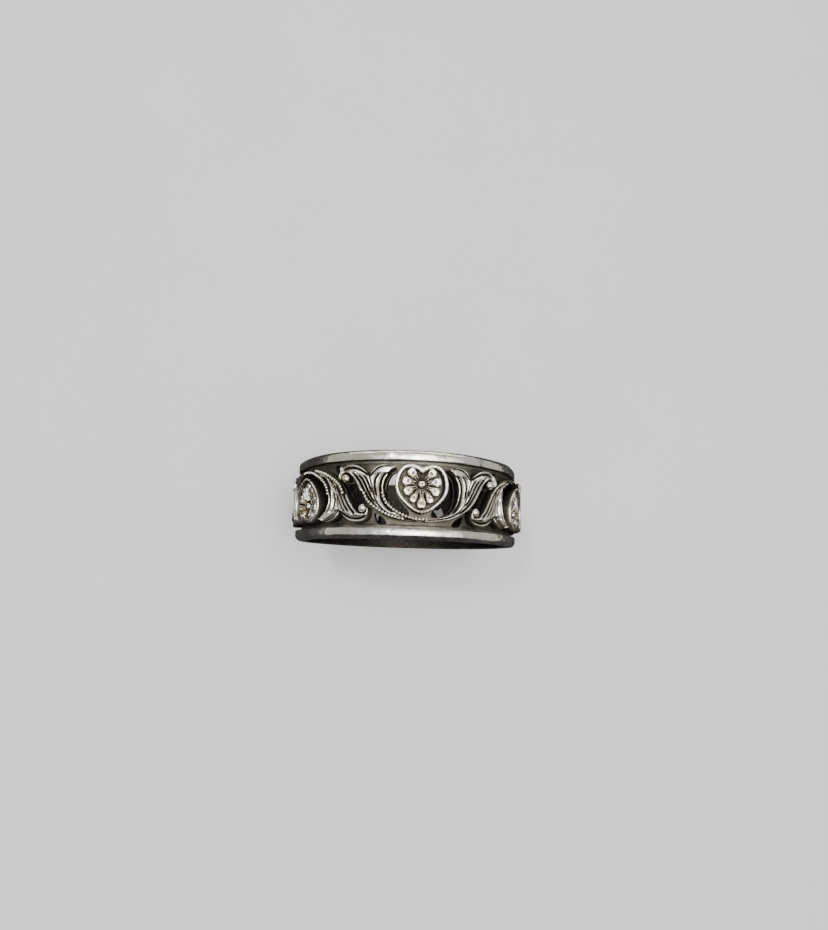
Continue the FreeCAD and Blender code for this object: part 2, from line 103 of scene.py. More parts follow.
# Grooves of each leaf: (station, part of the way across) along the groove, half width, depth.
INNER_GROOVES = [([(2.0, 0.42), (3, 0.37), (4, 0.33), (5, 0.3), (6, 0.29), (7, 0.25), (8, 0.18),
                   (8.8, 0.13)], 0.07, 1.0),
                 ([(4.6, 0.78), (6, 0.79), (7, 0.68), (8, 0.53), (8.7, 0.47)], 0.06, 0.9),
                 ([(7.3, 1.0), (8, 0.9), (9, 0.83), (10, 0.8), (11, 0.73), (12, 0.62)], 0.05, 0.95)]
OUTER_GROOVES = [([(7.5, 0.0), (8, 0.08), (9, 0.18), (10, 0.28), (11, 0.38), (12, 0.45), (13.4, 0.47)],
                  0.05, 0.95),
                 ([(5.2, 0.04), (6, 0.13), (7, 0.22), (8, 0.3), (8.8, 0.4)], 0.045, 0.85),
                 ([(4.0, 0.16), (5, 0.3), (6, 0.4), (7, 0.47), (8, 0.53), (9.2, 0.58)], 0.055, 0.9),
                 ([(2.8, 0.3), (4, 0.46), (5, 0.6), (6, 0.68), (7, 0.73), (8, 0.77), (9, 0.79),
                   (10.5, 0.73)], 0.055, 1.0)]
EDGE_ROUND = 0.17                # how far a leaf's rounded edge reaches in
RIDGE_ROUND = 0.32               # how far from a groove its ridges are still rising
STEM_WIDTH = 0.2                 # narrower than this a leaf is a plain rounded stem
LEAF_WIDTH = 0.4                 # wider than this its grooves have their full depth

# The left inner leaf keeps closer to the heart, where its milgrain is.
LEFT_HEART_SIDE = [(0.3, -1.79), (1.15, -1.61), (1.9, -1.24), (2.42, -0.86), (2.74, -0.4), (2.88, 0.08)]

# Milgrain rows on the left leaf pair, along the bead centres.
INNER_BEADS = [(2.96, -0.02), (2.86, -0.35), (2.7, -0.64), (2.47, -0.91), (2.0, -1.29), (1.53, -1.53),
               (1.02, -1.74), (0.48, -1.86), (0.0, -1.89), (-0.37, -1.86)]
OUTER_BEADS = [(4.43, -0.05), (4.12, -0.57), (3.71, -0.94), (3.28, -1.22), (2.83, -1.46), (2.35, -1.66),
               (1.85, -1.8), (1.4, -1.89)]
BEAD_PITCH = 0.262
BEAD_SIZE = 0.115
INNER_BEADED = (0, 5)            # edge with milgrain, and the station where it ends
OUTER_BEADED = (1, 6.2)
BEADED_EDGE = 0.26               # width it takes from the leaf

FLOWER_MIDDLE = (0.0, 0.76)
# Petals: direction in degrees from the lobes, length from the bead's middle, half width, how far along
# the petal it starts to broaden, and how far its dimple reaches.
PETALS = [(180, 1.92, 0.48, 0.3, 0.8), (151, 1.67, 0.34, 0.1, 0.72), (118, 1.58, 0.42, 0.1, 0.7),
          (82, 1.57, 0.45, 0.1, 0.66), (43, 1.5, 0.47, 0.05, 0.66), (-43, 1.5, 0.47, 0.05, 0.66),
          (-82, 1.57, 0.45, 0.1, 0.66), (-118, 1.58, 0.42, 0.1, 0.7), (-151, 1.67, 0.34, 0.1, 0.72)]
PETAL_ROOT = 0.5
PETAL_FOOT = PLATE_TOP + 0.03    # lowest height of a petal's top face
PETAL_TOP = RELIEF_TOP - 0.15
PETAL_NECK = 0.32                # width of a petal's root, as a part of its full width
DIMPLE_WIDTH = 0.36              # as a part of the half width
DIMPLE_DEPTH = 0.52
FLOWER_RAYS = 27
RAY_HEIGHT = 0.04
FLOWER_BEAD = 0.28
BEAD_DIMPLE = 0.1                # radius and depth of the dimple in the flower's bead

# Openings through the strip. The gap's corners are measured from halfway between two motifs.
CRESCENT = [(2.1, 1.64), (2.34, 1.54), (2.6, 1.24), (2.8, 0.8), (2.88, 0.3), (2.84, -0.3), (2.64, -0.88),
            (2.24, -1.32), (1.7, -1.56), (0.98, -1.62), (0.96, -1.24), (1.36, -0.84), (1.74, -0.38),
            (2.0, 0.12), (2.08, 0.62), (2.05, 1.12), (1.98, 1.42)]
STEM_TRIANGLE = [(2.75, -2.24), (3.45, -2.24), (3.82, -1.6), (3.66, -1.45), (3.02, -1.8)]
GAP = [(-0.98, -0.64), (-0.56, 0.14), (-0.06, 0.98), (0.3, 0.82),
       (0.98, 0.64), (0.56, -0.14), (0.06, -0.98), (-0.3, -0.82)]
CLEAR_LINE = 3.9                 # a line across the band here meets no opening
BAND_LENGTH = 2 * math.pi * RELIEF_TOP
STRIP_START = CLEAR_LINE - PITCH * RELIEF_TOP
OPENING_REACH = 2.2              # no opening reaches further than this from its middle


# ---------------------------------------------------------------- mesh helpers

def smooth_line(points, count, closed=False):
    """Points spread evenly in parameter along a Catmull-Rom curve through the given ones."""
    points = np.array(points, float)
    if closed:
        points = np.vstack([points[-1:], points, points[:2]])
    else:
        points = np.vstack([2 * points[0] - points[1], points, 2 * points[-1] - points[-2]])
    spans = len(points) - 3
    place = np.linspace(0, spans, count, endpoint=not closed)
    span = np.minimum(place.astype(int), spans - 1)
    t = (place - span)[:, None]
    p0, p1, p2, p3 = (points[span + k] for k in range(4))
    return 0.5 * (2 * p1 + (p2 - p0) * t + (2 * p0 - 5 * p1 + 4 * p2 - p3) * t ** 2
                  + (3 * p1 - p0 - 3 * p2 + p3) * t ** 3)


def even_line(points, spacing, closed=False):
    """The same curve, with points a given distance apart."""
    fine = smooth_line(points, 40 * len(points), closed)
    if closed:
        fine = np.vstack([fine, fine[:1]])
    run = np.concatenate([[0], np.cumsum(np.linalg.norm(np.diff(fine, axis=0), axis=1))])
    count = max(3, round(run[-1] / spacing) + 1)
    stops = np.linspace(0, run[-1], count)[:-1 if closed else None]
    return np.stack([np.interp(stops, run, fine[:, k]) for k in range(2)], axis=1)


def smoothstep(low, high, number):
    t = np.clip((number - low) / (high - low), 0, 1)
    return t * t * (3 - 2 * t)


def on_band(flat, motif, hand=1):
    """Unrolled points (along, across, radius) in metres on the band, for one motif and one hand."""
    flat = np.asarray(flat, float)
    turned = -1 if motif % 2 else 1
    angle = turned * hand * flat[..., 0] / RELIEF_TOP + motif * PITCH
    return MM * np.stack([flat[..., 2] * np.sin(angle), turned * flat[..., 1],
                          flat[..., 2] * np.cos(angle)], axis=-1)


def grid_faces(rows, columns, start=0, closed=False):
    """Quads of a grid of points, whose last row joins the first when closed."""
    faces = []
    for i in range(rows if closed else rows - 1):
        for j in range(columns - 1):
            here = start + i * columns + j
            there = start + (i + 1) % rows * columns + j
            faces.append((here, here + 1, there + 1, there))
    return faces


class Shell:
    """Collects solids of one piece: points on the unrolled band, faces, and how high each point is."""

    def __init__(self):
        self.points = []
        self.faces = []
        self.relief = []

    def add(self, points, faces, relief):
        start = len(self.points)
        self.points += [tuple(p) for p in np.reshape(points, (-1, 3))]
        self.faces += [tuple(start + k for k in face) for face in faces]
        self.relief += list(np.broadcast_to(relief, (len(self.points) - start,)))

    def add_block(self, top, relief, foot):
        """A solid with a shaped top, upright walls and a foot that follows the band."""
        rows, columns = top.shape[:2]
        low = top.copy()
        low[..., 2] = foot
        count = rows * columns
        faces = grid_faces(rows, columns) + grid_faces(rows, columns, count)
        rim = list(range(columns))
        rim += [i * columns + columns - 1 for i in range(1, rows)]
        rim += [(rows - 1) * columns + j for j in range(columns - 2, -1, -1)]
        rim += [i * columns for i in range(rows - 2, 0, -1)]
        for k, here in enumerate(rim):
            there = rim[(k + 1) % len(rim)]
            faces.append((here, there, there + count, here + count))
        points = np.vstack([top.reshape(-1, 3), low.reshape(-1, 3)])
        relief_level = np.broadcast_to(relief, (rows, columns)).ravel()
        self.add(points, faces, np.concatenate([relief_level, np.zeros(count)]))

    def add_loop(self, section, relief):
        """A closed band of closed sections: rows go round the loop, columns round the section."""
        rows, columns = section.shape[:2]
        faces = grid_faces(rows, columns, closed=True)
        for i in range(rows):
            here = i * columns
            there = (i + 1) % rows * columns
            faces.append((here + columns - 1, here, there, there + columns - 1))
        self.add(section, faces, np.ravel(relief))

    def add_ball(self, along, across, radius, size, rings=10, segments=16):
        """A small round bead. Its middle is on the unrolled band at the given radius."""
        points = [(along, across, radius + size)]
        for i in range(1, rings):
            polar = math.pi * i / rings
            for j in range(segments):
                turn = 2 * math.pi * j / segments
                out = size * math.sin(polar)
                points.append((along + out * math.cos(turn) * RELIEF_TOP / radius,
                               across + out * math.sin(turn), radius + size * math.cos(polar)))
        points.append((along, across, radius - size))
        last = len(points) - 1
        faces = []
        for j in range(segments):
            after = (j + 1) % segments
            faces.append((0, 1 + j, 1 + after))
            faces.append((last, last - segments + after, last - segments + j))
        for i in range(rings - 2):
            for j in range(segments):
                after = (j + 1) % segments
                here = 1 + i * segments
                faces.append((here + j, here + segments + j, here + segments + after, here + after))
        heights = np.array([p[2] for p in points])
        self.add(points, faces, smoothstep(radius - 0.6 * size, radius + 0.5 * size, heights))

    def add_turned(self, middle, profile, turns):
        """A turned solid square to the band. The profile is (reach, radius, relief) from foot to top."""
        section = np.zeros((turns, len(profile), 3))
        for i in range(turns):
            turn = 2 * math.pi * i / turns
            for j, (reach, radius, _) in enumerate(profile):
                section[i, j] = (middle[0] + reach * math.sin(turn) * RELIEF_TOP / radius,
                                 middle[1] + reach * math.cos(turn), radius)
        self.add_loop(section, np.tile([relief_level for _, _, relief_level in profile], (turns, 1)))

    def build(self, name, node, material, motif=0, hand=1, crease=50):
        """Makes the object, on the band and riding on the frame."""
        mesh = bpy.data.meshes.new(name)
        mesh.from_pydata(on_band(self.points, motif, hand).tolist(), [], self.faces)
        relief_level = mesh.attributes.new("relief", "FLOAT", "POINT")
        relief_level.data.foreach_set("value", np.array(self.relief, np.float32))
        edit = bmesh.new()
        edit.from_mesh(mesh)
        bmesh.ops.recalc_face_normals(edit, faces=edit.faces)
        edit.to_mesh(mesh)
        edit.free()
        mesh.shade_smooth()
        mesh.set_sharp_from_angle(angle=math.radians(crease))
        mesh.materials.append(material)
        piece = bpy.data.objects.new(name, mesh)
        bpy.context.scene.collection.objects.link(piece)
        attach(piece, "root")
        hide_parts(node)
        return piece


# ---------------------------------------------------------------- materials

class Nodes:
    """Short names for building one material's node tree."""

    def __init__(self, name):
        self.material = bpy.data.materials.new(name)
        self.material.use_nodes = True
        self.tree = self.material.node_tree
        self.shader = self.tree.nodes["Principled BSDF"]
        self.place = self.add("ShaderNodeTexCoord").outputs["Object"]

    def add(self, kind, **settings):
        node = self.tree.nodes.new(kind)
        for name, setting in settings.items():
            setattr(node, name, setting)
        return node

    def plug(self, source, socket):
        if hasattr(source, "is_linked"):
            self.tree.links.new(source, socket)
        else:
            socket.default_value = source
        return socket

    def noise(self, scale, detail=4.0, roughness=0.55, distortion=0.0):
        node = self.add("ShaderNodeTexNoise")
        self.plug(self.place, node.inputs["Vector"])
        node.inputs["Scale"].default_value = scale
        node.inputs["Detail"].default_value = detail
        node.inputs["Roughness"].default_value = roughness
        node.inputs["Distortion"].default_value = distortion
        return node.outputs["Fac"]

    def math(self, operation, first, second=0.0, clamp=False):
        node = self.add("ShaderNodeMath", operation=operation, use_clamp=clamp)
        self.plug(first, node.inputs[0])
        self.plug(second, node.inputs[1])
        return node.outputs[0]

    def span(self, source, low, high, to_low, to_high):
        """source from low..high to to_low..to_high, eased."""
        node = self.add("ShaderNodeMapRange", interpolation_type="SMOOTHSTEP")
        for socket, setting in zip(node.inputs, (source, low, high, to_low, to_high)):
            self.plug(setting, socket)
        return node.outputs[0]

    def mix(self, factor, first, second):
        node = self.add("ShaderNodeMix", data_type="RGBA")
        self.plug(factor, node.inputs["Factor"])
        self.plug(first, node.inputs[6])
        self.plug(second, node.inputs[7])
        return node.outputs[2]

    def bump(self, height, distance, strength=1.0):
        node = self.add("ShaderNodeBump")
        self.plug(height, node.inputs["Height"])
        node.inputs["Distance"].default_value = distance
        node.inputs["Strength"].default_value = strength
        return node.outputs["Normal"]

    def scratches(self, scale, stretch):
        """Fine lines drawn out round the band."""
        mapping = self.add("ShaderNodeMapping")
        self.plug(self.place, mapping.inputs["Vector"])
        mapping.inputs["Scale"].default_value = stretch
        node = self.add("ShaderNodeTexNoise")
        self.plug(mapping.outputs[0], node.inputs["Vector"])
        node.inputs["Scale"].default_value = scale
        node.inputs["Detail"].default_value = 3.0
        return node.outputs["Fac"]


# Noise scales are per metre: 1000 gives spots about a millimetre across.
BRIGHT = (0.95, 0.925, 0.845, 1)
WARM = (0.76, 0.69, 0.545, 1)
GROUND = (0.075, 0.068, 0.052, 1)
GROUND_LIGHT = (0.17, 0.155, 0.12, 1)
# Near-black for the lowest relief: oxide in the relief's hollows, and painted shade on the inside of the
# band and down the walls of its openings.
OXIDE_AND_SHADE = (0.018, 0.016, 0.014, 1)
OXIDE_AND_SHADE_PALE = (0.05, 0.045, 0.037, 1)
DARK_BELOW = 0.22                # heights, as the relief attribute counts them
BRIGHT_ABOVE = 0.8


def oxidised_silver(name, gloss, blotch, dents):
    """Silver that is polished where it stands proud, dull in its valleys and black in its depths: oxide in
    the relief's hollows, and painted shade on the inside of the band.
    """
    n = Nodes(name)
    n.shader.inputs["Metallic"].default_value = 1.0
    relief_level = n.add("ShaderNodeAttribute", attribute_name="relief").outputs["Fac"]
    blotches = n.noise(1100, 5.0, 0.65)
    fine = n.noise(5200, 3.0, 0.6)
    patches = n.math("MULTIPLY", n.math("SUBTRACT", blotches, 0.5), n.math("MULTIPLY", relief_level, blotch))
    edge = n.math("ADD", relief_level, patches)
    dulled = n.span(edge, 0.05, DARK_BELOW, 0.0, 1.0)
    polish = n.span(edge, DARK_BELOW + 0.06, BRIGHT_ABOVE, 0.0, 1.0)
    silver = n.mix(n.span(n.noise(480, 6.0, 0.65), 0.38, 0.68, 0.0, 1.0), BRIGHT, WARM)
    valley = n.mix(n.span(n.noise(700, 6.0, 0.7), 0.35, 0.7, 0.0, 1.0), GROUND, GROUND_LIGHT)
    # The lowest relief turns near-black: oxide in the hollows, painted shade on the inside of the band.
    depth = n.mix(n.span(fine, 0.3, 0.7, 0.0, 1.0), OXIDE_AND_SHADE, OXIDE_AND_SHADE_PALE)
    colour = n.mix(polish, n.mix(dulled, depth, valley), silver)
    n.plug(colour, n.shader.inputs["Base Color"])
    smooth = n.span(n.noise(1500, 5.0), 0.3, 0.75, gloss, gloss + 0.16)
    rough = n.math("ADD", n.math("MULTIPLY", polish, smooth),
                   n.math("MULTIPLY", n.math("SUBTRACT", 1.0, polish), 0.5))
    n.plug(rough, n.shader.inputs["Roughness"])
    scratched = n.scratches(900, (1.0, 14.0, 1.0))
    grain = n.math("ADD", n.math("MULTIPLY", blotches, 0.6), n.math("MULTIPLY", fine, 0.2))
    grain = n.math("ADD", grain, n.math("MULTIPLY", scratched, 0.5))
    grain = n.math("ADD", grain, n.math("MULTIPLY", n.noise(600, 2.0), dents))
    n.plug(n.bump(grain, 0.00004, 0.7), n.shader.inputs["Normal"])
    return n.material


def floor_paper():
    """Plain pale floor."""
    n = Nodes("floor_paper")
    shade = n.mix(n.noise(60, 3.0), (0.78, 0.78, 0.775, 1), (0.82, 0.82, 0.815, 1))
    n.plug(shade, n.shader.inputs["Base Color"])
    n.shader.inputs["Roughness"].default_value = 0.8
    n.plug(n.bump(n.noise(3000, 2.0), 0.00002, 0.3), n.shader.inputs["Normal"])
    return n.material


def card_black():
    """Black felt."""
    n = Nodes("card_black")
    n.plug(n.mix(n.noise(400, 3.0), (0.012, 0.012, 0.014, 1), (0.03, 0.03, 0.033, 1)),
           n.shader.inputs["Base Color"])
    n.shader.inputs["Roughness"].default_value = 1.0
    return n.material


# ---------------------------------------------------------------- rails

FACETS = 11
FACET_START = math.radians(20)
FACET_JITTER = math.radians(6)
FACET_DEPTH = 0.28               # 1 would be a flat facet, 0 a round rail
RAIL_TURNS = 420
FILED = 0.006                    # mean depth of the filing, which varies by as much again


def rail_section():
    """Section of the upper rail from its foot outwards: (across, radius, relief)."""
    # Relief falls down the side face towards the bore and is near 0 on the bore face: painted shade on the
    # edge and inside of the band.
    return [(RAIL_FOOT, BORE, 0.0), (RAIL_FOOT, STRIP_TOP, 0.15), (RAIL_FOOT, RAIL_TOP - 0.1, 0.3),
            (RAIL_FOOT + 0.02, RAIL_TOP - 0.03, 0.75), (RAIL_FOOT + 0.07, RAIL_TOP, 1.0),
            (RAIL_FOOT + 0.28, RAIL_TOP, 1.0), (RIM - 0.32, RAIL_TOP, 1.0),
            (RIM - 0.25, RAIL_TOP - 0.02, 1.0), (RIM - 0.13, RAIL_TOP - 0.12, 1.0),
            (RIM - 0.03, RAIL_TOP - 0.23, 1.0), (RIM, RAIL_TOP - 0.32, 0.9), (RIM, BORE + 0.3, 0.8),
            (RIM, BORE + 0.16, 0.6), (RIM - 0.04, BORE + 0.06, 0.4), (RIM - 0.14, BORE, 0.1)]


def facet_edge(k):
    """Angle round the band where facet k starts."""
    jitter = noise.noise(Vector((k % FACETS * 2.7, 0.5, 0.3)))
    return FACET_START + 2 * math.pi / FACETS * k + FACET_JITTER * jitter


def flattened(turn):
    """How far a flat facet would lie below the round rail, as a part of its radius."""
    for k in range(-1, FACETS + 1):
        start, end = facet_edge(k), facet_edge(k + 1)
        if start <= turn < end:
            half = (end - start) / 2
            return 1 - math.cos(half) / math.cos(turn - start - half)
    return 0.0


def make_rail(name, node, side, material):
    """Plain rail, its outer face in long shallow facets and slightly uneven from filing."""
    section = rail_section()
    loop = np.zeros((RAIL_TURNS, len(section), 3))
    for i in range(RAIL_TURNS):
        turn = 2 * math.pi * i / RAIL_TURNS
        around = Vector((math.cos(turn), math.sin(turn), 3.0 * side))
        facet = FACET_DEPTH * RAIL_TOP * flattened(turn)
        for j, (across, radius, _) in enumerate(section):
            filed = FILED + FILED * noise.noise(around * 5.0 + Vector((0, 0, across * 2)))
            outside = smoothstep(STRIP_TOP, RAIL_TOP - 0.05, radius)
            loop[i, j] = (turn * RELIEF_TOP, side * across, radius - (filed + facet) * outside)
    shell = Shell()
    shell.add_loop(loop, np.tile([relief_level for _, _, relief_level in section], (RAIL_TURNS, 1)))
    return shell.build(name, node, material, crease=35)


# ---------------------------------------------------------------- pierced strip

def strip_outlines():
    """Every opening of the strip on the unrolled band, as closed lines between its two ends."""
    pitch = PITCH * RELIEF_TOP
    outlines = []
    for motif in range(MOTIFS):
        turned = -1 if motif % 2 else 1
        for shape, spacing in ((CRESCENT, 0.1), (STEM_TRIANGLE, 0.12)):
            for hand in (1, -1):
                line = even_line(shape, spacing, closed=True)
                outlines.append(line * (turned * hand, turned) + (motif * pitch, 0))
        gap = even_line(GAP, 0.12, closed=True)
        outlines.append(gap * (turned, 1) + ((motif + 0.5) * pitch, 0))
    outlines = [line + (BAND_LENGTH if line[:, 0].mean() < STRIP_START else 0, 0) for line in outlines]
    return [line - (BAND_LENGTH if line[:, 0].mean() > STRIP_START + BAND_LENGTH else 0, 0)
            for line in outlines]


def inside(point, outline):
    """Whether a point is inside a closed outline."""
    x, y = outline[:, 0] - point[0], outline[:, 1] - point[1]
    x2, y2 = np.roll(x, -1), np.roll(y, -1)
    crosses = (y > 0) != (y2 > 0)
    with np.errstate(divide="ignore", invalid="ignore"):
        at = x + (0 - y) * (x2 - x) / (y2 - y)
    return np.count_nonzero(crosses & (at > 0)) % 2 == 1


def strip_grid(outlines):
    """Grid points of the unrolled strip that are clear of every opening. Rows are closer at its edges."""
    columns = 250
    clearance = 0.07
    inner_rows = np.linspace(0.4 - RAIL_FOOT, RAIL_FOOT - 0.4, 17)
    edge_rows = RAIL_FOOT - np.array([0.0, 0.05, 0.11, 0.18, 0.24, 0.3])
    levels = [*-edge_rows, *inner_rows, *edge_rows[::-1]]
    points = np.array([(STRIP_START + BAND_LENGTH * i / columns, across)
                       for i in range(columns + 1) for across in levels])
    keep = np.ones(len(points), bool)
    for line in outlines:
        for k in np.nonzero((np.abs(points - line.mean(axis=0)) < OPENING_REACH).all(axis=1))[0]:
            spread = np.linalg.norm(line - points[k], axis=1).min()
            keep[k] &= not inside(points[k], line) and spread > clearance
    return [tuple(p) for p in points[keep]]


def pierced_sheet(outlines):
    """Flat points of the unrolled strip, and its triangles without the ones in openings."""
    points = strip_grid(outlines)
    edges = []
    for line in outlines:
        first = len(points)
        points += [tuple(p) for p in line]
        edges += [(first + k, first + (k + 1) % len(line)) for k in range(len(line))]
    flat, _, triangles, *_ = delaunay_2d_cdt([Vector(p) for p in points], edges, [], 0, 1e-6)
    flat = np.array([tuple(p) for p in flat])
    solid = []
    for triangle in triangles:
        middle = flat[list(triangle)].mean(axis=0)
        near = [line for line in outlines if (np.abs(line.mean(axis=0) - middle) < OPENING_REACH).all()]
        if not any(inside(middle, line) for line in near):
            solid.append(tuple(triangle))
    return flat, solid


def join_ends(flat, triangles):
    """The same triangles, with the points at the strip's far end replaced by those at its start."""
    seam = {}
    joined = []
    for k, (along, across) in enumerate(flat):
        place = round((along - STRIP_START) % BAND_LENGTH % BAND_LENGTH * 1000)
        key = (place % round(BAND_LENGTH * 1000), round(across * 1000))
        joined.append(seam.setdefault(key, k))
    return [tuple(joined[k] for k in triangle) for triangle in triangles]


def open_edges(triangles):
    """Edges that only one triangle has, in that triangle's direction."""
    used = {}
    for triangle in triangles:
        for edge in zip(triangle, triangle[1:] + triangle[:1]):
            used[edge] = True
    return [(a, b) for a, b in used if (b, a) not in used]


def make_strip(material):
    """Flat strip bent round, pierced with all its openings. A seam line runs along each rail."""
    flat, triangles = pierced_sheet(strip_outlines())
    triangles = join_ends(flat, triangles)
    names = {k: i for i, k in enumerate(sorted({k for triangle in triangles for k in triangle}))}
    spots = np.array([flat[k] for k in names])
    count = len(spots)
    wavy = np.array([noise.noise(Vector((a * 1.7, b * 1.7, 5.0))) for a, b in spots])
    seam_line = smoothstep(RAIL_FOOT - 0.26, RAIL_FOOT - 0.2, np.abs(spots[:, 1]))
    top = np.column_stack([spots, STRIP_FACE + 0.02 * wavy + 0.05 * seam_line])
    low = np.column_stack([spots, np.full(count, BORE)])
    faces = [tuple(names[k] for k in triangle) for triangle in triangles]
    faces += [tuple(names[k] + count for k in reversed(triangle)) for triangle in triangles]
    faces += [(names[b], names[a], names[a] + count, names[b] + count) for a, b in open_edges(triangles)]
    shell = Shell()
    # The bore side gets relief 0 and so the near-black colour, and the openings' walls darken down to it:
    # painted shade for the inside of the band.
    shell.add(np.vstack([top, low]), faces, np.concatenate([0.27 + 0.1 * seam_line, np.zeros(count)]))
    return shell.build("strip_pierced", "pierced_strip", material, crease=40)


# ---------------------------------------------------------------- hearts

def heart_loop(half, count):
    """A closed heart from its right half, count points a side."""
    right = smooth_line(half, count)
    left = right[::-1] * (-1, 1)
    return np.vstack([right, left[1:-1]])


def make_heart_border(motif, material):
    """Bezel wire, rounded on top, upright inside and out, with a few grains cut at its point."""
    outer = heart_loop(HEART_OUTER, 90)
    inner = heart_loop(HEART_INNER, 90)
    spread = np.linspace(0, 1, 11)
    rows = len(outer)
    section = np.zeros((rows, len(spread) + 2, 3))
    relief = np.zeros((rows, len(spread) + 2))
    for j, u in enumerate(spread):
        across = (1 - abs(2 * u - 1) ** 2.6) ** 0.5
        section[:, j, :2] = outer * (1 - u) + inner * u
        section[:, j, 2] = RELIEF_TOP - 0.14 + 0.13 * across
        relief[:, j] = 0.45 + 0.55 * across
    section[:, -2, :2] = inner
    section[:, -2, 2] = PLATE_TOP - 0.05
    section[:, -1, :2] = outer
    section[:, -1, 2] = FOOT
    near_point = (1 - smoothstep(-1.25, -1.15, outer[:, 1]))[:, None]
    grain = 0.5 - 0.5 * np.cos(2 * math.pi * outer[:, :1] / BEAD_PITCH)
    section[:, :len(spread), 2] -= 0.07 * near_point * grain
    relief[:, :len(spread)] -= 0.5 * near_point * grain
    shell = Shell()
    shell.add_loop(section, relief)
    return shell.build(f"heart_rim_{motif + 1}", f"heart_border_{motif + 1}",
                       material, motif)


def make_heart_field(motif, material):
    """Sunk plate with fine ridges that run out from the bead."""
    edge = heart_loop(HEART_INNER, 90)
    middle = np.array(FLOWER_MIDDLE)
    steps = np.linspace(0.02, 1.0, 16)
    rows = len(edge)
    offset = edge - middle
    turn = np.arctan2(offset[:, 0], offset[:, 1])
    top = np.zeros((rows, len(steps), 3))
    relief = np.zeros((rows, len(steps)))
    for j, step in enumerate(steps):
        reach = np.linalg.norm(offset, axis=1) * step
        ray = smoothstep(0.3, 0.5, reach) * (1 - smoothstep(0.95, 1.2, reach))
        ridge = RAY_HEIGHT * np.cos(FLOWER_RAYS * turn) * ray
        top[:, j, :2] = middle + offset * step
        top[:, j, 2] = PLATE_TOP - 0.08 + ridge + 0.05 * step ** 4
        relief[:, j] = 0.16 + 0.1 * (1 - smoothstep(0.8, 1.1, reach)) + 0.3 * smoothstep(0.0, 0.02, ridge)
    low = top[:, -1:, :].copy()
    low[..., 2] = FOOT
    hub = low.copy()
    hub[..., :2] = middle + 0.02 * offset[:, None, :]
    section = np.concatenate([top, low, hub], axis=1)
    shell = Shell()
    shell.add_loop(section, np.concatenate([relief, np.zeros((rows, 2))], axis=1))
    return shell.build(f"heart_field_{motif + 1}", f"heart_plate_{motif + 1}",
                       material, motif)


def rounded_end(part, start, reach, least):
    """1 until start, then falling in a curve over reach."""
    return math.sqrt(max(least, 1 - max(0.0, (part - start) / reach) ** 3))


def add_petal(shell, direction, length, half_width, flare_start, dimple_end):
    """Petal: a broad rounded pillow with a dimple that opens towards the bead."""
    turn = math.radians(direction)
    outward = np.array([math.sin(turn), math.cos(turn)])
    sideways = np.array([outward[1], -outward[0]])
    rows, columns = 30, 21
    v = np.linspace(-1, 1, columns)
    edge = (1 - np.abs(v) ** 5) ** 0.5
    top = np.zeros((rows, columns, 3))
    relief = np.zeros((rows, columns))
    for i in range(rows):
        part = 1 - (1 - i / (rows - 1)) ** 1.5
        reach = PETAL_ROOT + (length - PETAL_ROOT) * part
        flare = PETAL_NECK + (1 - PETAL_NECK) * float(smoothstep(flare_start, 0.85, part))
        width = half_width * flare * rounded_end(part, 0.62, 0.382, 0.001)
        pillow = 0.55 + 0.45 * float(smoothstep(0.05, 0.4, part))
        open_part = 1 - float(smoothstep(dimple_end - 0.25, dimple_end, part))
        dimple = np.exp(-(v / DIMPLE_WIDTH) ** 2) * open_part
        height = pillow * edge * rounded_end(part, 0.84, 0.165, 0.0) - DIMPLE_DEPTH * dimple
        top[i, :, :2] = np.array(FLOWER_MIDDLE) + outward * reach + np.outer(v * width, sideways)
        top[i, :, 2] = PETAL_FOOT + (PETAL_TOP - PETAL_FOOT) * height
        relief[i] = np.clip(0.3 + 1.1 * height, 0, 1)
    shell.add_block(top, relief, PLATE_TOP - 0.15)


def make_flower(motif, material):
    """Nine petals and the collar under the bead."""
    shell = Shell()
    for petal in PETALS:
        add_petal(shell, *petal)
    collar = [(0.02, -0.15, 0), (0.46, -0.15, 0), (0.46, 0.0, 0.25), (0.43, 0.06, 0.5), (0.39, 0.08, 0.6),
              (0.35, 0.04, 0.35), (0.33, -0.02, 0.15), (0.29, -0.03, 0), (0.02, -0.03, 0)]
    profile = [(reach, PLATE_TOP + height, relief_level) for reach, height, relief_level in collar]
    shell.add_turned(FLOWER_MIDDLE, profile, 48)
    return shell.build(f"flower_petals_{motif + 1}", f"flower_{motif + 1}",
                       material, motif)


def make_flower_bead(motif, material):
    """Round bead with a shallow dimple in its top."""
    profile = [(0.02, PLATE_TOP, 0.0), (FLOWER_BEAD * 0.9, PLATE_TOP, 0.0)]
    for step in range(16):
        polar = math.radians(100 - 98 * step / 15)
        reach = FLOWER_BEAD * math.sin(polar)
        dimple = math.exp(-(reach / BEAD_DIMPLE) ** 2)
        height = 0.2 + 0.3 * math.cos(polar) - BEAD_DIMPLE * dimple
        profile.append((reach, PLATE_TOP + height, 1.0 - 0.9 * dimple))
    shell = Shell()
    shell.add_turned(FLOWER_MIDDLE, profile, 32)
    return shell.build(f"flower_boss_{motif + 1}", f"flower_bead_{motif + 1}",
                       material, motif)


# ---------------------------------------------------------------- leaves

def groove_line(path, place):
    """Where a groove is across the leaf at each row, and how much of it is there."""
    stations, across = zip(*path)
    there = smoothstep(stations[0], stations[0] + 0.7, place) * (1 - smoothstep(
        stations[-1] - 0.9, stations[-1], place))
    return np.interp(place, stations, across), there


